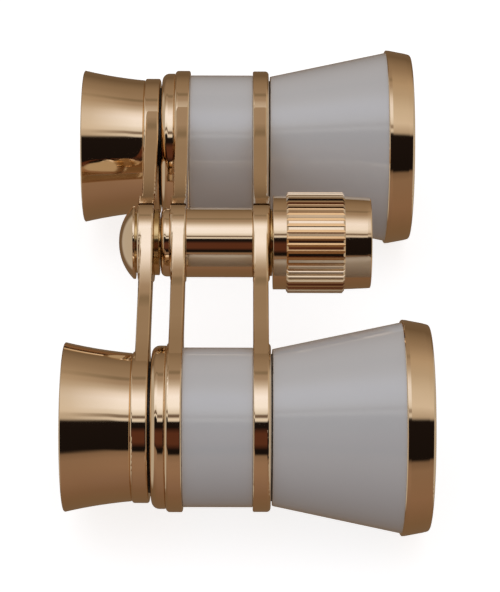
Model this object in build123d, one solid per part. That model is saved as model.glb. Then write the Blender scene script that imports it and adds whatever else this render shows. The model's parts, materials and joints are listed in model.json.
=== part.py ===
from build123d import *
import math
import os

# Opera glasses: two Galilean barrels held side by side by two fixed bridge plates and a
# centre tube. A third bridge plate carries both eyepieces and slides on a spindle that the
# focusing knob screws in and out.
# Millimetres. X runs along the barrels towards the objectives, +Y is the user's left, Z is up.
# The origin is the bottom centre of the whole object's box.

# ---- driving dimensions ----
barrel_spacing = 64.0
overall_length = 55.4
centre_axis_rise = 8.2
running_clearance = 0.05

# lengths along X, from the eye end to the objective end
eyecup_length = 10.4
eyepiece_plate_thickness = 2.58
eyepiece_gap = 0.32
guide_collar_length = 2.2
rear_plate_thickness = 2.55
rear_sleeve_length = 10.6
front_plate_thickness = 2.7
cone_gap = 0.2
cone_length = 19.55

# outside radii of one barrel
eyecup_lip_radius = 12.88
eyecup_base_radius = 11.27
eyepiece_ring_radius = 11.53
guide_collar_radius = 12.42
rear_ring_radius = 12.9
rear_sleeve_radius = 12.13
front_ring_radius = 12.84
cone_small_radius = 11.92
cone_large_radius = 16.03
rim_radius = 16.46
rim_front_radius = 15.7

# inside radii of one barrel
draw_tube_radius = 10.0
draw_tube_bore = 9.3
barrel_tube_radius = 11.2
barrel_tube_bore = 10.5
eye_lens_radius = 7.25
objective_lens_radius = 13.75
objective_aperture_radius = 13.0

# radii about the centre axis
spindle_radius = 2.79
drive_sleeve_radius = 4.0
drive_flange_radius = 4.4
centre_tube_radius = 5.57
centre_tube_neck_radius = 4.9
end_nut_radius = 5.47
thrust_collar_radius = 5.37
spindle_disc_radius = 5.26
dome_nut_radius = 5.88
dome_radius = 8.0
knob_rear_radius = 7.48
knob_grip_radius = 8.05
knob_front_radius = 7.43
knob_end_radius = 7.23
knurl_ridges = 48
knurl_depth = 0.45

# bridge arms seen along the barrels, heights above the barrel axes
eyepiece_arm_height = 10.4
fixed_arm_height = 11.3
arm_underside = 6.5
boss_radius = 6.4
boss_slope_angle = 27.0
eyepiece_arm_root_fillet = 28.0
fixed_arm_root_fillet = 20.0
ring_rise_angle = 9.0
ring_rise_fillet = 30.0
ring_meeting_angle = 17.0
underside_fillet = 1.5
arm_edge_fillet = 0.35
lug_end_y = 6.4
groove_angle = 25.0
groove_width = 0.9
groove_depth = 0.7
hidden_step = 0.02
touching = 0.005
small_edge = 0.12

# ---- positions worked out from the driving dimensions ----
axis_z = rim_radius
centre_z = axis_z + centre_axis_rise
eye_end_x = -overall_length / 2
rim_front_x = overall_length / 2
eyecup_base_x = eye_end_x + eyecup_length
eyepiece_plate_front_x = eyecup_base_x + eyepiece_plate_thickness
guide_collar_x = eyepiece_plate_front_x + eyepiece_gap
rear_plate_x = guide_collar_x + guide_collar_length
rear_sleeve_x = rear_plate_x + rear_plate_thickness
front_plate_x = rear_sleeve_x + rear_sleeve_length
front_plate_end_x = front_plate_x + front_plate_thickness
cone_x = front_plate_end_x + cone_gap
rim_x = cone_x + cone_length
barrel_tube_x = guide_collar_x + 1.0
barrel_tube_end_x = cone_x + 2.0
guide_bush_x = front_plate_x - 3.0
lens_floor_x = eyecup_base_x - 2.0
eyecup_bowl_x = lens_floor_x - 1.0
thrust_collar_end_x = front_plate_end_x + 0.35
knob_x = thrust_collar_end_x + 0.1
grip_x = knob_x + 2.1
grip_end_x = grip_x + 9.2
knob_recess_x = grip_end_x + 0.3
cap_x = grip_end_x + 3.5
cap_end_x = grip_end_x + 4.4
sides = {"left": barrel_spacing / 2, "right": -barrel_spacing / 2}


def turned(corners, y, z):
    """A solid turned about an axis along X at (y, z), from (x, radius, corner fillet) points."""
    points = [(x, radius) for x, radius, fillet_radius in corners]
    fillets = [fillet_radius for x, radius, fillet_radius in corners]
    outline = FilletPolyline(*points, radius=fillets, close=True)
    solid = revolve(make_face(outline), Axis.X, 360)
    return Pos(0, y, z) * solid


def tube(start_x, end_x, inner, outer, y, z, edge=0.0):
    """A plain tube, with its outer corners rounded by edge."""
    corners = [(start_x, inner, 0), (start_x, outer, edge), (end_x, outer, edge), (end_x, inner, 0)]
    return turned(corners, y, z)


def save(shape, name):
    shape.label = name
    export_step(shape, f"parts/{name}.step")


# ---- bridge plates ----
def arm_outline(ring_radius, arm_height, root_fillet):
    """Outline of the arms in the YZ plane: a bar between two discs, which swells into a hump
    over the centre boss and rises a little where it meets each disc."""
    ring_y = barrel_spacing / 2
    disc_radius = ring_radius - hidden_step
    slope = math.radians(boss_slope_angle)
    hump_peak = centre_axis_rise + boss_radius / math.cos(slope)
    hump_foot_y = (hump_peak - arm_height) / math.tan(slope)
    meeting = math.radians(ring_meeting_angle)
    meeting_y = ring_y - disc_radius * math.sin(meeting)
    meeting_height = disc_radius * math.cos(meeting)
    rise_foot_y = meeting_y - (meeting_height - arm_height) / math.tan(math.radians(ring_rise_angle))
    left_half = [
        (hump_foot_y, arm_height, root_fillet),
        (rise_foot_y, arm_height, ring_rise_fillet),
        (meeting_y, meeting_height, 0),
        (meeting_y, arm_underside, 0),
    ]
    right_half = [(-y, height, fillet_radius) for y, height, fillet_radius in reversed(left_half)]
    corners = right_half + [(0, hump_peak, boss_radius)] + left_half
    points = [(y, height) for y, height, fillet_radius in corners]
    fillets = [fillet_radius for y, height, fillet_radius in corners]
    outline = make_face(FilletPolyline(*points, radius=fillets, close=True))
    outline = outline + Pos(0, centre_axis_rise) * Circle(boss_radius - hidden_step)
    for y in sides.values():
        outline = outline + Pos(y, 0) * Circle(disc_radius)
    underside_corners = []
    for vertex in outline.vertices():
        if abs(vertex.Y - arm_underside) < touching and abs(vertex.X) < meeting_y - touching:
            underside_corners.append(vertex)
    return fillet(underside_corners, underside_fillet)


def thick_slice(outline, start_x, thickness):
    """The outline as a plate of this thickness, with its edges rounded on both faces."""
    plate = extrude(Plane.YZ.offset(start_x) * outline, amount=thickness, dir=(1, 0, 0))
    plate = fillet(plate.edges().group_by(Axis.X)[0], arm_edge_fillet)
    return fillet(plate.edges().group_by(Axis.X)[-1], arm_edge_fillet)


def boss_lug(outline, start_x, thickness):
    """The root of the left arm, at the full thickness of the plate as far as lug_end_y."""
    keep = Box(thickness + 2, lug_end_y, 4 * boss_radius)
    keep = Pos(start_x + thickness / 2, lug_end_y / 2, centre_axis_rise) * keep
    return thick_slice(outline, start_x, thickness) & keep


def boss_groove(start_x, thickness):
    """The cutter for the groove across the top of a boss, between the boss and the lug."""
    across = Box(thickness + 2, groove_width, 2 * groove_depth)
    place = Pos(start_x + thickness / 2, 0, centre_axis_rise) * Rot(-groove_angle, 0, 0)
    return place * Pos(0, 0, boss_radius) * across


def bridge_plate(start_x, thickness, ring_radius, arm, bores, edges, insets):
    """One bridge plate: two barrel rings and a centre boss joined by a slightly thinner arm.
    arm is (height, root fillet) and bores is (ring, centre); edges and insets are (rear, front)."""
    arm_x = start_x + insets[0]
    arm_thickness = thickness - insets[0] - insets[1]
    outline = arm_outline(ring_radius, arm[0], arm[1])
    plate = thick_slice(outline, arm_x, arm_thickness) + boss_lug(outline, start_x, thickness)
    end_x = start_x + thickness
    discs = [(y, 0, ring_radius) for y in sides.values()]
    discs.append((0, centre_axis_rise, boss_radius))
    for y, z, radius in discs:
        disc = [(start_x, 0, 0), (start_x, radius, edges[0]), (end_x, radius, edges[1]), (end_x, 0, 0)]
        plate = plate + turned(disc, y, z)
    plate = plate - boss_groove(start_x, thickness)
    for y in sides.values():
        plate = plate - tube(start_x - 1, end_x + 1, 0, bores[0], y, 0)
    plate = plate - tube(start_x - 1, end_x + 1, 0, bores[1], 0, centre_axis_rise)
    return Pos(0, 0, axis_z) * plate


def make_bridges():
    eyepiece_bridge = bridge_plate(
        eyecup_base_x, eyepiece_plate_thickness, eyepiece_ring_radius,
        arm=(eyepiece_arm_height, eyepiece_arm_root_fillet), bores=(draw_tube_radius, spindle_radius),
        edges=(0.35, 0.35), insets=(0.4, hidden_step),
    )
    save(eyepiece_bridge, "eyepiece_bridge")
    rear_bridge = bridge_plate(
        rear_plate_x, rear_plate_thickness, rear_ring_radius,
        arm=(fixed_arm_height, fixed_arm_root_fillet), bores=(barrel_tube_radius, centre_tube_neck_radius),
        edges=(0.6, 0.3), insets=(0.35, hidden_step),
    )
    save(rear_bridge, "rear_bridge")
    front_bridge = bridge_plate(
        front_plate_x, front_plate_thickness, front_ring_radius,
        arm=(fixed_arm_height, fixed_arm_root_fillet), bores=(barrel_tube_radius, centre_tube_neck_radius),
        edges=(0.25, 0.6), insets=(hidden_step, 0.3),
    )
    save(front_bridge, "front_bridge")


# ---- one barrel ----
def make_fixed_barrel(side, y):
    collar = turned([
        (guide_collar_x, draw_tube_radius + running_clearance, 0.15),
        (guide_collar_x, guide_collar_radius, 1.2),
        (rear_plate_x, guide_collar_radius, 0.2),
        (rear_plate_x, barrel_tube_radius, 0),
        (barrel_tube_x, barrel_tube_radius, 0),
        (barrel_tube_x, draw_tube_radius + running_clearance, 0),
    ], y, axis_z)
    save(collar, f"{side}_guide_collar")

    liner = tube(barrel_tube_x, barrel_tube_end_x, barrel_tube_bore, barrel_tube_radius, y, axis_z)
    save(liner, f"{side}_barrel_tube")

    bush_bore = draw_tube_radius + running_clearance
    bush = tube(guide_bush_x, front_plate_x, bush_bore, barrel_tube_bore, y, axis_z)
    save(bush, f"{side}_guide_bush")

    sleeve = tube(rear_sleeve_x, front_plate_x, barrel_tube_radius, rear_sleeve_radius, y, axis_z, 0.15)
    save(sleeve, f"{side}_rear_sleeve")


def make_front_cone(side, y):
    wall = 0.8
    throat_gap = 0.6
    spigot_length = 1.1
    spigot_radius = cone_large_radius - wall
    cone = turned([
        (cone_x, barrel_tube_radius, 0),
        (cone_x, cone_small_radius, 0.2),
        (rim_x, cone_large_radius, 0),
        (rim_x, spigot_radius, 0),
        (rim_x + spigot_length, spigot_radius, 0),
        (rim_x + spigot_length, spigot_radius - wall, 0),
        (rim_x - wall, spigot_radius - wall, 0),
        (barrel_tube_end_x + throat_gap, barrel_tube_radius, 0),
    ], y, axis_z)
    save(cone, f"{side}_front_cone")

    lens_seat_x = rim_front_x - 1.1
    rim_chamfer = 0.15
    rim_band = 0.65
    rim_nose = 1.0
    rim_nose_rise = 0.22
    front_face_width = 1.3
    mouth_depth = 0.8
    rim = turned([
        (rim_x, spigot_radius, 0),
        (rim_x, rim_radius - rim_chamfer, 0),
        (rim_x + rim_chamfer, rim_radius, 0.1),
        (rim_x + rim_band, rim_radius - 0.04, 0.8),
        (rim_front_x - rim_nose, rim_front_radius + rim_nose_rise, 1.5),
        (rim_front_x, rim_front_radius - 0.05, 0.5),
        (rim_front_x, rim_front_radius - front_face_width, rim_chamfer),
        (rim_front_x - mouth_depth, objective_aperture_radius, 0),
        (lens_seat_x, objective_aperture_radius, 0),
        (lens_seat_x, objective_lens_radius, 0),
        (rim_x + spigot_length, objective_lens_radius, 0),
        (rim_x + spigot_length, spigot_radius, 0),
    ], y, axis_z)
    save(rim, f"{side}_objective_rim")

    edge_thickness = 1.1
    front_bulge = 0.75
    rear_bulge = 0.9
    lens_rear_x = lens_seat_x - edge_thickness
    lens = lens_solid(
        lens_rear_x, lens_seat_x, objective_lens_radius, objective_aperture_radius - 0.2,
        rear_bulge, front_bulge, y,
    )
    save(lens, f"{side}_objective_lens")

    retainer_x = rim_x + spigot_length
    retainer = tube(
        retainer_x, lens_rear_x, objective_aperture_radius - 0.1, objective_lens_radius, y, axis_z
    )
    save(retainer, f"{side}_objective_retainer")


def lens_solid(rear_x, front_x, radius, face_radius, rear_bulge, front_bulge, y):
    """A lens on a barrel axis: a flat seating land outside face_radius, and a spherical face
    inside it. A bulge is positive where the face swells outwards."""
    rear_pole = (rear_x - rear_bulge, 0)
    front_pole = (front_x + front_bulge, 0)
    rear_face = bulged_edge((rear_x, face_radius), rear_pole, face_radius, rear_bulge)
    front_face = bulged_edge((front_x, face_radius), front_pole, face_radius, front_bulge)
    edge = Polyline((rear_x, face_radius), (rear_x, radius), (front_x, radius), (front_x, face_radius))
    axis_line = Line(rear_pole, front_pole)
    face = make_face(Curve() + [rear_face, edge, front_face, axis_line])
    return Pos(0, y, axis_z) * revolve(face, Axis.X, 360)


def bulged_edge(edge_point, pole, radius, bulge):
    """Half of a lens face's arc, from its edge to its pole on the axis."""
    sphere_radius = (radius**2 + bulge**2) / (2 * abs(bulge))
    half_angle = math.asin(radius / sphere_radius) / 2
    drop = sphere_radius * (1 - math.cos(half_angle))
    direction = 1 if edge_point[0] < pole[0] else -1
    middle = (pole[0] - direction * drop, sphere_radius * math.sin(half_angle))
    return ThreePointArc(edge_point, middle, pole)


# ---- one eyepiece ----
def make_eyepiece(side, y):
    lip_thickness = 0.55
    lip_round = 0.2
    lip_x = eye_end_x + lip_round
    base_edge = 0.15
    side_hollow = 0.18
    bowl_step = 0.4
    floor_bore = eye_lens_radius + 0.9
    outside = ThreePointArc(
        (lip_x, eyecup_lip_radius),
        ((eye_end_x + eyecup_base_x) / 2, (eyecup_lip_radius + eyecup_base_radius) / 2 - side_hollow),
        (eyecup_base_x - base_edge, eyecup_base_radius),
    )
    lip = ThreePointArc(
        (lip_x, eyecup_lip_radius),
        (eye_end_x, eyecup_lip_radius - lip_thickness / 2),
        (lip_x, eyecup_lip_radius - lip_thickness),
    )
    inside = Polyline(
        (eyecup_base_x - base_edge, eyecup_base_radius),
        (eyecup_base_x, eyecup_base_radius - base_edge),
        (eyecup_base_x, draw_tube_radius),
        (lens_floor_x, draw_tube_radius),
        (lens_floor_x, floor_bore),
        (eyecup_bowl_x, floor_bore + 0.2),
        (eyecup_bowl_x - bowl_step, eyecup_base_radius - 1.0),
        (lip_x, eyecup_lip_radius - lip_thickness),
    )
    eyecup = Pos(0, y, axis_z) * revolve(make_face(Curve() + [outside, lip, inside]), Axis.X, 360)
    save(eyecup, f"{side}_eyecup")

    draw_tube_length = 27.0
    sliding_tube = tube(
        lens_floor_x, lens_floor_x + draw_tube_length, draw_tube_bore, draw_tube_radius, y, axis_z
    )
    save(sliding_tube, f"{side}_draw_tube")

    cell_front_x = lens_floor_x + 4.5
    seat_x = lens_floor_x + 0.8
    lens_front_x = seat_x + 2.4
    cell_mouth = eye_lens_radius - 0.45
    face_radius = eye_lens_radius - 0.9
    cell = turned([
        (lens_floor_x, cell_mouth, 0.2),
        (lens_floor_x, draw_tube_bore, 0),
        (cell_front_x, draw_tube_bore, 0),
        (cell_front_x, eye_lens_radius, 0),
        (seat_x, eye_lens_radius, 0),
        (seat_x, cell_mouth, 0),
    ], y, axis_z)
    save(cell, f"{side}_eye_lens_cell")

    rear_bulge = -0.5
    front_bulge = -0.8
    lens = lens_solid(seat_x, lens_front_x, eye_lens_radius, face_radius, rear_bulge, front_bulge, y)
    save(lens, f"{side}_eye_lens")

    retainer = tube(lens_front_x, cell_front_x, face_radius, eye_lens_radius, y, axis_z)
    save(retainer, f"{side}_eye_lens_retainer")


# ---- centre tube and its ends ----
def make_centre_tube():
    neck_start_x = guide_collar_x + 1.3
    flange_pocket_x = front_plate_end_x - 1.0
    tube_bore = drive_sleeve_radius + running_clearance
    pocket_bore = drive_flange_radius + running_clearance
    centre_tube = turned([
        (neck_start_x, tube_bore, 0),
        (neck_start_x, centre_tube_neck_radius, 0),
        (rear_sleeve_x, centre_tube_neck_radius, 0),
        (rear_sleeve_x, centre_tube_radius, 0.15),
        (front_plate_x, centre_tube_radius, 0.15),
        (front_plate_x, centre_tube_neck_radius, 0),
        (front_plate_end_x, centre_tube_neck_radius, 0),
        (front_plate_end_x, pocket_bore, 0),
        (flange_pocket_x, pocket_bore, 0),
        (flange_pocket_x, tube_bore, 0),
    ], 0, centre_z)
    save(centre_tube, "centre_tube")

    end_nut_x = guide_collar_x + 0.75
    end_nut_edge = 0.9
    end_nut = turned([
        (end_nut_x, spindle_radius + running_clearance, 0),
        (end_nut_x, end_nut_radius, end_nut_edge),
        (rear_plate_x, end_nut_radius, 0.1),
        (rear_plate_x, centre_tube_neck_radius, 0),
        (neck_start_x, centre_tube_neck_radius, 0),
        (neck_start_x, spindle_radius + running_clearance, 0),
    ], 0, centre_z)
    save(end_nut, "centre_tube_end_nut")

    thrust_collar = tube(
        front_plate_end_x, thrust_collar_end_x, tube_bore, thrust_collar_radius, 0, centre_z, small_edge
    )
    save(thrust_collar, "thrust_collar")

    sleeve_start_x = rear_sleeve_x + 1.2
    sleeve_end_x = knob_recess_x + 1.7
    flange_play = 0.1
    sleeve = turned([
        (sleeve_start_x, spindle_radius + running_clearance, 0),
        (sleeve_start_x, drive_sleeve_radius, 0.2),
        (flange_pocket_x + flange_play, drive_sleeve_radius, 0),
        (flange_pocket_x + flange_play, drive_flange_radius, 0),
        (front_plate_end_x - flange_play, drive_flange_radius, 0),
        (front_plate_end_x - flange_play, drive_sleeve_radius, 0),
        (sleeve_end_x, drive_sleeve_radius, 0),
        (sleeve_end_x, spindle_radius + running_clearance, 0),
    ], 0, centre_z)
    save(sleeve, "drive_sleeve")


# ---- focusing knob ----
def knurled_ring(start_x, end_x):
    """Straight-knurled band: parallel ridges with V grooves, chamfered at both ends."""
    pitch = 2 * math.pi / knurl_ridges
    root_radius = knob_grip_radius - knurl_depth
    crest = 0.2
    star = []
    for ridge in range(knurl_ridges):
        centre = ridge * pitch
        for offset, radius in ((-crest, knob_grip_radius), (crest, knob_grip_radius), (0.5, root_radius)):
            angle = centre + offset * pitch
            star.append((radius * math.cos(angle), radius * math.sin(angle)))
    star_face = Plane.YZ.offset(start_x) * make_face(Polyline(*star, close=True))
    band = Pos(0, 0, centre_z) * extrude(star_face, amount=end_x - start_x, dir=(1, 0, 0))
    chamfer_size = 0.35
    outer_radius = knob_grip_radius + 0.05
    envelope = turned([
        (start_x, 0, 0),
        (start_x, knob_grip_radius - chamfer_size, 0),
        (start_x + chamfer_size, outer_radius, 0),
        (end_x - chamfer_size, outer_radius, 0),
        (end_x, knob_grip_radius - chamfer_size, 0),
        (end_x, 0, 0),
    ], 0, centre_z)
    return band & envelope


def make_knob():
    recess_radius = 6.0
    nut_thickness = 1.6
    nut_radius = recess_radius - 0.4
    grip_overlap = 0.5
    front_taper = (knob_front_radius - knob_end_radius) / (cap_end_x - grip_end_x)
    cap_joint_radius = knob_front_radius - front_taper * (cap_x - grip_end_x)
    hub = turned([
        (knob_x, drive_sleeve_radius, 0),
        (knob_x, knob_rear_radius, small_edge),
        (grip_x + grip_overlap, knob_rear_radius, 0),
        (grip_end_x - grip_overlap, knob_front_radius, 0),
        (grip_end_x, knob_front_radius, 0),
        (cap_x, cap_joint_radius, 0),
        (cap_x, recess_radius, 0),
        (knob_recess_x, recess_radius, 0),
        (knob_recess_x, drive_sleeve_radius, 0),
    ], 0, centre_z)
    grip = knurled_ring(grip_x, grip_end_x)
    grip = grip - tube(grip_x - 1, grip_end_x + 1, 0, drive_sleeve_radius, 0, centre_z)
    save(hub + grip, "focus_knob")

    nut_end_x = knob_recess_x + nut_thickness
    lock_nut = tube(knob_recess_x, nut_end_x, drive_sleeve_radius, nut_radius, 0, centre_z)
    save(lock_nut, "knob_lock_nut")

    dome = 0.25
    spigot_length = 0.6
    cap = turned([
        (cap_x - spigot_length, 0, 0),
        (cap_x - spigot_length, recess_radius, 0),
        (cap_x, recess_radius, 0),
        (cap_x, cap_joint_radius, 0),
        (cap_end_x - dome, knob_end_radius, 0.25),
        (cap_end_x, 0, 0),
    ], 0, centre_z)
    save(cap, "knob_end_cap")


# ---- spindle and the pieces that clamp the eyepiece bridge to it ----
def make_spindle():
    washer_thickness = 0.35
    dome_nut_x = eyecup_base_x - washer_thickness
    dome_height = 2.7
    dome_shoulder = 3.3
    base_band = 0.35
    thread_depth = 1.2
    spindle_start_x = dome_nut_x - thread_depth
    spindle_length = 31.0
    spindle = tube(spindle_start_x, spindle_start_x + spindle_length, 0, spindle_radius, 0, centre_z)
    save(spindle, "focus_spindle")

    washer_radius = dome_nut_radius - 1.0
    washer = tube(dome_nut_x, eyecup_base_x, spindle_radius, washer_radius, 0, centre_z)
    save(washer, "dome_nut_washer")

    dome_nut = turned([
        (dome_nut_x, spindle_radius, 0),
        (dome_nut_x, dome_nut_radius, 0.1),
        (dome_nut_x - base_band, dome_nut_radius, 0.2),
        (dome_nut_x - dome_height, dome_shoulder, dome_radius),
        (dome_nut_x - dome_height, 0, 0),
        (spindle_start_x, 0, 0),
        (spindle_start_x, spindle_radius, 0),
    ], 0, centre_z)
    save(dome_nut, "dome_nut")

    disc_end_x = eyepiece_plate_front_x + 0.85
    disc = tube(
        eyepiece_plate_front_x, disc_end_x, spindle_radius, spindle_disc_radius, 0, centre_z, small_edge
    )
    save(disc, "spindle_disc")


os.makedirs("parts", exist_ok=True)
make_bridges()
for side, side_y in sides.items():
    make_fixed_barrel(side, side_y)
    make_front_cone(side, side_y)
    make_eyepiece(side, side_y)
make_centre_tube()
make_knob()
make_spindle()
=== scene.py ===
import json
import math
import bpy
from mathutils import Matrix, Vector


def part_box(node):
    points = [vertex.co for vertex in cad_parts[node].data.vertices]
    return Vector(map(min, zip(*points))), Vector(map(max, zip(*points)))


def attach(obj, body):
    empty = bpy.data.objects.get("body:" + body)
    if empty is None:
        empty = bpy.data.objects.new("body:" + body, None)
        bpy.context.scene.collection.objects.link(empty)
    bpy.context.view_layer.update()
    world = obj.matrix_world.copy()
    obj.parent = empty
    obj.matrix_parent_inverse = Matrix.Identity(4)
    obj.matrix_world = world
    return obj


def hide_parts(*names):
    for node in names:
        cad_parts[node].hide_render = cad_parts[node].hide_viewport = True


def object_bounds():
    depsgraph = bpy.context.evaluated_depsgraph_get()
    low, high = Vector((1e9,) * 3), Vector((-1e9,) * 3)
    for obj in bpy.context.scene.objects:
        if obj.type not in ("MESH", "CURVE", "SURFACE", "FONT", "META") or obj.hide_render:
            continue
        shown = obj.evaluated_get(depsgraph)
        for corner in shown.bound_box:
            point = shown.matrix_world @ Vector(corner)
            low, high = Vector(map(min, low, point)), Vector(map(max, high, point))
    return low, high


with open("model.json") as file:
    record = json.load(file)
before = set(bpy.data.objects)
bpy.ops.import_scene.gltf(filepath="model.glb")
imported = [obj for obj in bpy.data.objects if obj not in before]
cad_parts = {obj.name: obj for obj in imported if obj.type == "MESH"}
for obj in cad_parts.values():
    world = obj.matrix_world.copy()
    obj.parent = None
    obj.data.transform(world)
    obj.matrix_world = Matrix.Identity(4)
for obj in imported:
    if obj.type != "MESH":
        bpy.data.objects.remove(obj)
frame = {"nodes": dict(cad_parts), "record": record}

# Opera glasses: two white enamelled barrels with polished gold-plated fittings.
# Everything is in metres in the CAD frame: X along the barrels, +Y the user's left, Z up.

cad_low, cad_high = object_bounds()
MM = 0.001
SLOTS = {part["node"]: part["material_slot"] for part in frame["record"]["subparts"]}
BODIES = frame["record"]["behaviour"]["bodies"]


# ---------------------------------------------------------------- node helpers
def new_material(name):
    """An empty node material with its output, and the function that adds nodes to it."""
    material = bpy.data.materials.new(name)
    material.use_nodes = True
    tree = material.node_tree
    tree.nodes.clear()
    output = tree.nodes.new("ShaderNodeOutputMaterial")
    return material, tree, output


def add(tree, kind, **settings):
    """Adds a node; settings that name an input set its value, the rest set properties."""
    node = tree.nodes.new(kind)
    for key, value in settings.items():
        if key in node.inputs:
            node.inputs[key].default_value = value
        else:
            setattr(node, key, value)
    return node


def math_node(tree, operation, a, b=None, clamp=False):
    node = tree.nodes.new("ShaderNodeMath")
    node.operation = operation
    node.use_clamp = clamp
    for index, value in enumerate((a, b)):
        if value is None:
            continue
        if isinstance(value, (int, float)):
            node.inputs[index].default_value = value
        else:
            tree.links.new(value, node.inputs[index])
    return node.outputs[0]


def object_noise(tree, scale, detail=3.0, roughness=0.5, stretch=(1, 1, 1)):
    """Noise in object coordinates, stretched along the axes, as a value from 0 to 1."""
    coordinates = tree.nodes.new("ShaderNodeTexCoord")
    mapping = tree.nodes.new("ShaderNodeMapping")
    mapping.inputs["Scale"].default_value = stretch
    tree.links.new(coordinates.outputs["Object"], mapping.inputs["Vector"])
    noise = tree.nodes.new("ShaderNodeTexNoise")
    noise.inputs["Scale"].default_value = scale
    noise.inputs["Detail"].default_value = detail
    noise.inputs["Roughness"].default_value = roughness
    tree.links.new(mapping.outputs["Vector"], noise.inputs["Vector"])
    return noise.outputs["Fac"]


def ramp(tree, factor, stops, interpolation="LINEAR"):
    """A colour ramp through (position, colour) stops."""
    node = tree.nodes.new("ShaderNodeValToRGB")
    node.color_ramp.interpolation = interpolation
    elements = node.color_ramp.elements
    while len(elements) < len(stops):
        elements.new(0.5)
    for element, (position, colour) in zip(elements, stops):
        element.position = position
        element.color = (*colour, 1.0)
    tree.links.new(factor, node.inputs["Fac"])
    return node.outputs["Color"]


def map_range(tree, value, low, high, to_low, to_high):
    node = tree.nodes.new("ShaderNodeMapRange")
    node.inputs["From Min"].default_value = low
    node.inputs["From Max"].default_value = high
    node.inputs["To Min"].default_value = to_low
    node.inputs["To Max"].default_value = to_high
    tree.links.new(value, node.inputs["Value"])
    return node.outputs["Result"]


def bump(tree, height, distance, strength=1.0):
    node = tree.nodes.new("ShaderNodeBump")
    node.inputs["Strength"].default_value = strength
    node.inputs["Distance"].default_value = distance
    tree.links.new(height, node.inputs["Height"])
    return node.outputs["Normal"]


# ---------------------------------------------------------------- materials
BARREL_Y = 32.0 * MM
BARREL_Z = (cad_low[2] + cad_high[2]) / 2
ARM_END_Y = (17.0 * MM, 20.0 * MM)
INWARD = -0.5 * MM


def axes(tree, output):
    """The X, Y and Z sockets of an output of the texture coordinates, by name."""
    coordinates = tree.nodes.new("ShaderNodeTexCoord")
    split = tree.nodes.new("ShaderNodeSeparateXYZ")
    tree.links.new(coordinates.outputs[output], split.inputs[0])
    return split.outputs


def inside_mask(tree):
    """1 on faces that look towards their own barrel's axis, 0 on the outside. It compares the
    face's normal with the way out from the axis."""
    place = axes(tree, "Object")
    normal = axes(tree, "Normal")
    axis_y = math_node(tree, "MULTIPLY", math_node(tree, "SIGN", place["Y"]), BARREL_Y)
    across = math_node(tree, "MULTIPLY", math_node(tree, "SUBTRACT", place["Y"], axis_y), normal["Y"])
    up = math_node(tree, "MULTIPLY", math_node(tree, "SUBTRACT", place["Z"], BARREL_Z), normal["Z"])
    return math_node(tree, "LESS_THAN", math_node(tree, "ADD", across, up), INWARD)


def blackened_inside(tree, shader):
    """The shader outside and matt black paint on the faces inside a barrel."""
    paint = add(tree, "ShaderNodeBsdfPrincipled")
    grain = object_noise(tree, 900.0, 3.0, 0.6)
    shades = [(0.3, (0.010, 0.010, 0.011)), (0.7, (0.018, 0.018, 0.019))]
    tree.links.new(ramp(tree, grain, shades), paint.inputs["Base Color"])
    tree.links.new(map_range(tree, grain, 0.3, 0.7, 0.55, 0.7), paint.inputs["Roughness"])
    choose = tree.nodes.new("ShaderNodeMixShader")
    tree.links.new(inside_mask(tree), choose.inputs[0])
    tree.links.new(shader.outputs[0], choose.inputs[1])
    tree.links.new(paint.outputs[0], choose.inputs[2])
    return choose.outputs[0]


GOLD = (0.88, 0.715, 0.52)
GOLD_DEEP = (0.85, 0.675, 0.47)


def gold_material(name, light=GOLD, deep=GOLD_DEEP, polish=0.035, smudge=0.05, wave=0.000002, arms=0.0):
    """Polished gold plate: cloudy colour, smudged roughness and a slight hand-polished waviness.
    arms is the extra roughness of the bridges' arms, which are softer than their turned rings."""
    material, tree, output = new_material(name)
    shader = add(tree, "ShaderNodeBsdfPrincipled", Metallic=1.0)
    cloud = object_noise(tree, 55.0, 4.0, 0.55)
    colour = ramp(tree, cloud, [(0.3, deep), (0.7, light)])
    tree.links.new(colour, shader.inputs["Base Color"])
    haze = object_noise(tree, 160.0, 5.0, 0.6)
    roughness = map_range(tree, haze, 0.45, 0.8, polish, polish + smudge)
    if arms:
        distance = math_node(tree, "ABSOLUTE", axes(tree, "Object")["Y"])
        extra = map_range(tree, distance, ARM_END_Y[0], ARM_END_Y[1], arms, 0.0)
        roughness = math_node(tree, "ADD", roughness, extra)
    tree.links.new(roughness, shader.inputs["Roughness"])
    ripple = object_noise(tree, 220.0, 2.0, 0.4)
    tree.links.new(bump(tree, ripple, wave), shader.inputs["Normal"])
    tree.links.new(shader.outputs[0], output.inputs["Surface"])
    return material


def enamel_material():
    """Glossy white enamel: faint pearly clouding and a trace of orange peel under a clear gloss."""
    material, tree, output = new_material("white_enamel")
    shader = add(tree, "ShaderNodeBsdfPrincipled", IOR=1.5)
    cloud = object_noise(tree, 70.0, 4.0, 0.6)
    colour = ramp(tree, cloud, [(0.3, (0.780, 0.779, 0.786)), (0.7, (0.803, 0.801, 0.803))])
    tree.links.new(colour, shader.inputs["Base Color"])
    haze = object_noise(tree, 240.0, 3.0, 0.5)
    roughness = map_range(tree, haze, 0.3, 0.7, 0.13, 0.19)
    tree.links.new(roughness, shader.inputs["Roughness"])
    peel = object_noise(tree, 700.0, 2.0, 0.5)
    tree.links.new(bump(tree, peel, 0.000004), shader.inputs["Normal"])
    shader.inputs["Coat Weight"].default_value = 0.8
    shader.inputs["Coat Roughness"].default_value = 0.10
    tree.links.new(blackened_inside(tree, shader), output.inputs["Surface"])
    return material


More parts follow.
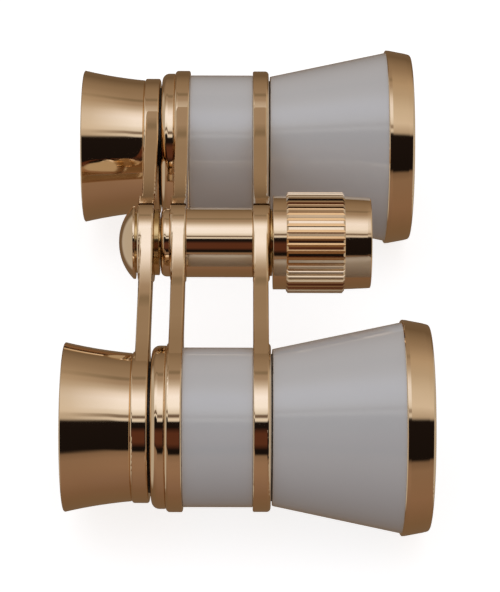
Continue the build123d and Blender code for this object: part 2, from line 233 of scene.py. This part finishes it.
def black_material(name, shade=0.012, roughness_low=0.35, roughness_high=0.55):
    """Matt black anodising with fine machining marks."""
    material, tree, output = new_material(name)
    shader = add(tree, "ShaderNodeBsdfPrincipled")
    grain = object_noise(tree, 900.0, 3.0, 0.6)
    low = (shade * 0.8, shade * 0.8, shade * 0.85)
    high = (shade * 1.4, shade * 1.4, shade * 1.45)
    tree.links.new(ramp(tree, grain, [(0.3, low), (0.7, high)]), shader.inputs["Base Color"])
    roughness = map_range(tree, grain, 0.3, 0.7, roughness_low, roughness_high)
    tree.links.new(roughness, shader.inputs["Roughness"])
    marks = object_noise(tree, 2500.0, 2.0, 0.5, (6.0, 0.3, 0.3))
    tree.links.new(bump(tree, marks, 0.000004), shader.inputs["Normal"])
    tree.links.new(shader.outputs[0], output.inputs["Surface"])
    return material


def glass_material():
    """Coated lens glass: clear, with a faint blue-violet coating and a trace of haze."""
    material, tree, output = new_material("lens_glass")
    shader = add(tree, "ShaderNodeBsdfPrincipled", IOR=1.52)
    shader.inputs["Transmission Weight"].default_value = 1.0
    shader.inputs["Specular Tint"].default_value = (0.72, 0.74, 1.0, 1.0)
    cloud = object_noise(tree, 90.0, 2.0, 0.5)
    colour = ramp(tree, cloud, [(0.3, (0.93, 0.96, 0.98)), (0.7, (0.96, 0.98, 1.0))])
    tree.links.new(colour, shader.inputs["Base Color"])
    roughness = map_range(tree, cloud, 0.4, 0.9, 0.0, 0.015)
    tree.links.new(roughness, shader.inputs["Roughness"])
    tree.links.new(shader.outputs[0], output.inputs["Surface"])
    return material


MATERIALS = {
    "gold_bridge": gold_material("gold_bridge", arms=0.06),
    "gold_rim": gold_material("gold_rim"),
    "gold_eyecup": gold_material("gold_eyecup"),
    "gold_turned": gold_material("gold_turned"),
    "gold_knob": gold_material("gold_knob", (0.86, 0.69, 0.49), (0.81, 0.63, 0.43), 0.06),
    "white_enamel": enamel_material(),
    "lens_glass": glass_material(),
    "black_anodised": black_material("black_anodised"),
    "black_nylon": black_material("black_nylon", 0.02, 0.6, 0.75),
    "plain_brass": gold_material("plain_brass", (0.70, 0.50, 0.24), (0.60, 0.42, 0.18), 0.16, 0.12),
}


def paint_nodes():
    """Every CAD node takes the finish of its slot in the record."""
    for name, node in frame["nodes"].items():
        node.data.materials.clear()
        node.data.materials.append(MATERIALS[SLOTS[name]])


def stand_in(name, node, verts, faces):
    """A new piece that stands for a CAD node, with that node's body, slot and finish."""
    mesh = bpy.data.meshes.new(name)
    mesh.from_pydata(verts, [], faces)
    mesh.update()
    mesh.materials.append(MATERIALS[SLOTS[node]])
    obj = bpy.data.objects.new(name, mesh)
    bpy.context.scene.collection.objects.link(obj)
    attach(obj, next(body for body, members in BODIES.items() if node in members))
    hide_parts(node)
    return mesh


# ---------------------------------------------------------------- threaded spindle
THREAD_PITCH = 1.75 * MM
THREAD_STARTS = 3
THREAD_DEPTH = 0.42 * MM
THREAD_RUN_OUT = 1.6 * MM
THREAD_CLEAR_OF_DISC = 0.4 * MM
GROOVE_HALF_WIDTH = 0.36
RINGS_PER_PITCH = 14
SPINDLE_SEGMENTS = 72


def thread_radius(outer, along, turn_share, thread_start, thread_end):
    """Radius of the thread at a place along the spindle: flat crests, V grooves, plain ends.
    turn_share is the angle about the axis as a share of a turn."""
    phase = (along / THREAD_PITCH - THREAD_STARTS * turn_share) % 1.0
    groove = max(0.0, 1.0 - abs(phase - 0.5) / GROOVE_HALF_WIDTH)
    ends = min(along - thread_start, thread_end - along) / THREAD_RUN_OUT
    return outer - THREAD_DEPTH * groove * max(0.0, min(1.0, ends))


def threaded_spindle():
    """The focusing spindle with its three-start thread, plain where the eyepiece bridge sits."""
    low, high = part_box("focus_spindle")
    disc_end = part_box("spindle_disc")[1][0]
    outer = (high[2] - low[2]) / 2
    axis_z = (high[2] + low[2]) / 2
    segments = SPINDLE_SEGMENTS
    rings = round((high[0] - low[0]) / THREAD_PITCH * RINGS_PER_PITCH)
    thread_start = disc_end + THREAD_CLEAR_OF_DISC
    verts = []
    for ring in range(rings + 1):
        x = low[0] + (high[0] - low[0]) * ring / rings
        for segment in range(segments):
            share = segment / segments
            radius = thread_radius(outer, x, share, thread_start, high[0])
            angle = 2 * math.pi * share
            verts.append((x, radius * math.cos(angle), axis_z + radius * math.sin(angle)))
    faces = []
    for ring in range(rings):
        for segment in range(segments):
            this = ring * segments + segment
            following = ring * segments + (segment + 1) % segments
            faces.append((this, following, following + segments, this + segments))
    faces.append(tuple(reversed(range(segments))))
    faces.append(tuple(range(rings * segments, (rings + 1) * segments)))
    mesh = stand_in("threaded_spindle", "focus_spindle", verts, faces)
    for polygon in mesh.polygons:
        polygon.use_smooth = len(polygon.vertices) == 4


# ---------------------------------------------------------------- lenses and knob cap
TURNED_SEGMENTS = 96
ARC_STEPS = 20
OBJECTIVE_LENS = {"face_radius": 12.8, "rear_sag": 0.9, "front_sag": 0.75, "thickness": 1.1}
EYE_LENS = {"face_radius": 6.35, "rear_sag": -0.5, "front_sag": -0.8, "thickness": 2.4}
CAP_SPIGOT_RADIUS = 6.0 * MM
CAP_SPIGOT_LENGTH = 0.6 * MM
CAP_DOME = 0.18 * MM
CAP_EDGE_ROUND = 0.2 * MM
CAP_FACE_INSET = 0.24 * MM
CAP_ROUND_STEPS = 6


def turned_piece(node, rear_pole_x, profile, front_pole_x, creases):
    """A closed piece turned about its node's axis along X, in the place of that CAD node.
    profile is (x, radius) points between the poles; creases are the profile's sharp corners."""
    low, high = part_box(node)
    axis_y = (low[1] + high[1]) / 2
    axis_z = (low[2] + high[2]) / 2
    segments = TURNED_SEGMENTS
    verts = [(rear_pole_x, axis_y, axis_z)]
    for x, radius in profile:
        for segment in range(segments):
            angle = 2 * math.pi * segment / segments
            verts.append((x, axis_y + radius * math.cos(angle), axis_z + radius * math.sin(angle)))
    verts.append((front_pole_x, axis_y, axis_z))
    front_pole = len(verts) - 1
    last_ring = 1 + (len(profile) - 1) * segments
    faces = []
    for segment in range(segments):
        following = (segment + 1) % segments
        faces.append((0, 1 + following, 1 + segment))
        for ring in range(len(profile) - 1):
            start = 1 + ring * segments
            after = start + segments
            faces.append((start + segment, start + following, after + following, after + segment))
        faces.append((front_pole, last_ring + segment, last_ring + following))
    mesh = stand_in("turned_" + node, node, verts, faces)
    for polygon in mesh.polygons:
        polygon.use_smooth = True
    for edge in mesh.edges:
        rings = {(vertex - 1) // segments for vertex in edge.vertices}
        edge.use_edge_sharp = len(rings) == 1 and rings <= creases


def face_arc(edge_x, pole_x, face_radius):
    """Points of a spherical face from its edge to just outside its pole."""
    sag = pole_x - edge_x
    sphere = (face_radius**2 + sag**2) / (2 * abs(sag))
    direction = 1 if sag > 0 else -1
    points = []
    for step in range(ARC_STEPS):
        radius = face_radius * (1 - step / ARC_STEPS)
        depth = sphere - math.sqrt(sphere**2 - radius**2)
        points.append((pole_x - direction * depth, radius))
    return points


def ground_lens(node, lens):
    """A lens with spherical faces and a flat seating land. A sag is positive where the face
    swells outwards."""
    face_radius, rear_sag, front_sag, thickness = [
        lens[key] * MM for key in ("face_radius", "rear_sag", "front_sag", "thickness")
    ]
    low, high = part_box(node)
    radius = (high[2] - low[2]) / 2
    rear_x = low[0] + max(rear_sag, 0.0)
    front_x = rear_x + thickness
    rear = face_arc(rear_x, rear_x - rear_sag, face_radius)
    front = face_arc(front_x, front_x + front_sag, face_radius)
    profile = list(reversed(rear)) + [(rear_x, radius), (front_x, radius)] + front
    creases = {len(rear) - 1, len(rear), len(rear) + 1, len(rear) + 2}
    turned_piece(node, rear_x - rear_sag, profile, front_x + front_sag, creases)


def knob_cap():
    """The knob's end cap: a spigot, a short side and a slightly domed face with a rounded edge."""
    low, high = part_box("knob_end_cap")
    side_x = low[0] + CAP_SPIGOT_LENGTH
    side_radius = (high[2] - low[2]) / 2
    face_radius = side_radius - CAP_FACE_INSET
    dome_x = high[0] - CAP_DOME
    profile = [(low[0], CAP_SPIGOT_RADIUS), (side_x, CAP_SPIGOT_RADIUS), (side_x, side_radius)]
    for step in range(CAP_ROUND_STEPS):
        angle = math.pi / 2 * step / CAP_ROUND_STEPS
        x = dome_x - CAP_EDGE_ROUND + CAP_EDGE_ROUND * math.sin(angle)
        profile.append((x, face_radius + CAP_EDGE_ROUND * math.cos(angle)))
    profile += face_arc(dome_x, high[0], face_radius)
    turned_piece("knob_end_cap", low[0], profile, high[0], {0, 1, 2})


def smooth_turned_pieces():
    """The lenses and the knob's cap, whose CAD meshes shade badly at the pole."""
    for side in ("left", "right"):
        ground_lens(side + "_objective_lens", OBJECTIVE_LENS)
        ground_lens(side + "_eye_lens", EYE_LENS)
    knob_cap()


# ---------------------------------------------------------------- studio
# Light by direction. The angle goes round the X axis: 0 is level towards the camera's side,
# 90 is overhead and 180 is level behind the object. Colours are linear radiance.
STUDIO_ARC = [
    (-180, (0.17, 0.115, 0.068)),
    (-135, (0.17, 0.110, 0.062)),
    (-80, (0.20, 0.125, 0.072)),
    (-60, (0.217, 0.130, 0.080)),
    (-39, (0.258, 0.160, 0.108)),
    (-15, (0.307, 0.195, 0.130)),
    (-1, (0.307, 0.197, 0.133)),
    (9, (0.25, 0.165, 0.110)),
    (12, (0.010, 0.007, 0.006)),
    (55, (0.012, 0.008, 0.007)),
    (57, (0.86, 0.82, 0.78)),
    (60, (0.86, 0.82, 0.78)),
    (61.5, (0.18, 0.13, 0.10)),
    (64.5, (0.18, 0.13, 0.10)),
    (66.5, (0.78, 0.75, 0.72)),
    (76, (1.05, 1.07, 1.17)),
    (90, (1.08, 1.10, 1.24)),
    (99, (0.93, 0.90, 0.94)),
    (108, (0.60, 0.53, 0.47)),
    (117, (0.40, 0.310, 0.235)),
    (123, (0.38, 0.290, 0.215)),
    (126, (0.25, 0.190, 0.130)),
    (129, (0.25, 0.190, 0.130)),
    (132, (0.345, 0.260, 0.185)),
    (155, (0.29, 0.210, 0.140)),
    (180, (0.17, 0.115, 0.068)),
]
# The overhead card is dimmer and wider towards the objectives.
FRONT_ARC = [
    (-180, (0.17, 0.115, 0.068)),
    (-80, (0.21, 0.130, 0.075)),
    (-39, (0.270, 0.165, 0.105)),
    (-1, (0.270, 0.175, 0.115)),
    (9, (0.20, 0.130, 0.085)),
    (12, (0.010, 0.007, 0.006)),
    (56, (0.012, 0.008, 0.007)),
    (60, (0.50, 0.42, 0.34)),
    (72, (0.72, 0.64, 0.56)),
    (90, (0.66, 0.58, 0.49)),
    (110, (0.53, 0.44, 0.34)),
    (130, (0.50, 0.39, 0.28)),
    (150, (0.34, 0.250, 0.170)),
    (180, (0.17, 0.115, 0.068)),
]
RED_CARD = (0.105, 0.036, 0.019)
RED_CARD_ARC = (18, 26, 40, 48)
SIDE_LIGHT = (0.52, 0.47, 0.41)
# Where each change starts and ends, by the X or Y of a direction.
EYE_SIDE_X = (-0.36, -0.04)
CUP_X = (0.10, 0.20)
FRONT_X = (0.12, 0.36)
RED_CARD_X = (0.02, 0.12)
SIDE_X = (0.62, 0.74)
BEHIND_Y = (0.1, 0.9)
BEFORE_Y = (-0.1, -0.7)
# The overhead card's near edge is turned a little towards the eye end and past the eyecups.
EYE_SIDE_TURN = math.radians(8)
CUP_TURN = math.radians(3)
# Soft light on matt and enamelled surfaces, by height of its direction, and its tints
# from behind the object and from the camera's side.
SOFT_DOME = [(0.0, (0.175, 0.140, 0.120)), (0.5, (0.31, 0.29, 0.283)), (1.0, (0.72, 0.73, 0.755))]
SOFT_DOME_BEHIND = (0.68, 0.58, 0.50)
SOFT_DOME_BEFORE = (0.78, 0.76, 0.755)


def mix_colour(tree, share, first, second, blend="MIX"):
    """A colour between two colours, or the first multiplied by the second. Each is a socket or
    an RGB tuple."""
    node = tree.nodes.new("ShaderNodeMix")
    node.data_type = "RGBA"
    node.blend_type = blend
    tree.links.new(share, node.inputs["Factor"])
    for index, value in ((6, first), (7, second)):
        if isinstance(value, tuple):
            node.inputs[index].default_value = (*value, 1.0)
        else:
            tree.links.new(value, node.inputs[index])
    return node.outputs[2]


def arc_ramp(tree, angle, stops):
    """The stops' colours by an angle in radians."""
    turn = map_range(tree, angle, -math.pi, math.pi, 0.0, 1.0)
    return ramp(tree, turn, [((degrees + 180) / 360, colour) for degrees, colour in stops])


def studio_world():
    """A soft studio: a long overhead card, a dark card on the camera's side, warm grey around."""
    world = bpy.data.worlds.new("studio")
    bpy.context.scene.world = world
    world.use_nodes = True
    tree = world.node_tree
    tree.nodes.clear()
    output = tree.nodes.new("ShaderNodeOutputWorld")
    coordinates = tree.nodes.new("ShaderNodeTexCoord")
    split = tree.nodes.new("ShaderNodeSeparateXYZ")
    tree.links.new(coordinates.outputs["Generated"], split.inputs[0])
    x, y, z = split.outputs
    angle = math_node(tree, "ARCTAN2", z, math_node(tree, "MULTIPLY", y, -1.0))
    angle_at_eyes = math_node(tree, "ADD", angle, map_range(tree, x, *EYE_SIDE_X, -EYE_SIDE_TURN, 0.0))
    angle_at_cups = math_node(tree, "ADD", angle_at_eyes, map_range(tree, x, *CUP_X, 0.0, -CUP_TURN))
    arc = arc_ramp(tree, angle_at_cups, STUDIO_ARC)
    front_share = map_range(tree, x, *FRONT_X, 0.0, 1.0)
    arc = mix_colour(tree, front_share, arc, arc_ramp(tree, angle_at_eyes, FRONT_ARC))
    low_edge, low_full, high_full, high_edge = [math.radians(degrees) for degrees in RED_CARD_ARC]
    rise = map_range(tree, angle, low_edge, low_full, 0.0, 1.0)
    fall = map_range(tree, angle, high_full, high_edge, 1.0, 0.0)
    left_part = map_range(tree, x, *RED_CARD_X, 1.0, 0.0)
    red_share = math_node(tree, "MULTIPLY", math_node(tree, "MULTIPLY", rise, fall), left_part)
    arc = mix_colour(tree, red_share, arc, RED_CARD)
    side_share = map_range(tree, math_node(tree, "ABSOLUTE", x), *SIDE_X, 0.0, 1.0)
    arc = mix_colour(tree, side_share, arc, SIDE_LIGHT)
    soft = ramp(tree, map_range(tree, z, -1.0, 1.0, 0.0, 1.0), SOFT_DOME)
    behind_share = map_range(tree, y, *BEHIND_Y, 0.0, 1.0)
    soft = mix_colour(tree, behind_share, soft, SOFT_DOME_BEHIND, "MULTIPLY")
    before_share = map_range(tree, y, *BEFORE_Y, 0.0, 1.0)
    soft = mix_colour(tree, before_share, soft, SOFT_DOME_BEFORE, "MULTIPLY")
    path = tree.nodes.new("ShaderNodeLightPath")
    light = mix_colour(tree, path.outputs["Is Diffuse Ray"], arc, soft)
    studio = tree.nodes.new("ShaderNodeBackground")
    tree.links.new(light, studio.inputs["Color"])
    backdrop = add(tree, "ShaderNodeBackground", Color=(0.97, 0.97, 0.97, 1.0))
    choose = tree.nodes.new("ShaderNodeMixShader")
    tree.links.new(path.outputs["Is Camera Ray"], choose.inputs[0])
    tree.links.new(studio.outputs[0], choose.inputs[1])
    tree.links.new(backdrop.outputs[0], choose.inputs[2])
    tree.links.new(choose.outputs[0], output.inputs["Surface"])


def floor():
    """A plain pale floor just under the object, softly lit from below like a light table."""
    half = 3.0
    drop = 0.02 * MM
    mesh = bpy.data.meshes.new("floor")
    corners = [(-half, -half, -drop), (half, -half, -drop), (half, half, -drop), (-half, half, -drop)]
    mesh.from_pydata(corners, [], [(0, 1, 2, 3)])
    obj = bpy.data.objects.new("floor", mesh)
    bpy.context.scene.collection.objects.link(obj)
    material, tree, output = new_material("floor")
    card = add(tree, "ShaderNodeBsdfDiffuse", Color=(0.60, 0.60, 0.61, 1.0))
    glow = add(tree, "ShaderNodeEmission", Color=(1.0, 1.0, 1.0, 1.0), Strength=0.78)
    both = tree.nodes.new("ShaderNodeAddShader")
    tree.links.new(card.outputs[0], both.inputs[0])
    tree.links.new(glow.outputs[0], both.inputs[1])
    tree.links.new(both.outputs[0], output.inputs["Surface"])
    obj.visible_glossy = False
    obj.visible_diffuse = False
    mesh.materials.append(material)


def camera():
    """The camera looks down on the object from the side at about 45 degrees."""
    data = bpy.data.cameras.new("camera")
    data.sensor_width = 36.0
    data.lens = 145.34
    obj = bpy.data.objects.new("camera", data)
    obj.location = (-0.00048, -0.27353, 0.28936)
    obj.rotation_euler = tuple(math.radians(angle) for angle in (44.655, -0.213, 0.005))
    data.clip_start = 0.01
    data.clip_end = 20.0
    bpy.context.scene.collection.objects.link(obj)
    bpy.context.scene.camera = obj


paint_nodes()
threaded_spindle()
smooth_turned_pieces()
studio_world()
floor()
camera()
bpy.context.scene.view_settings.view_transform = "Standard"
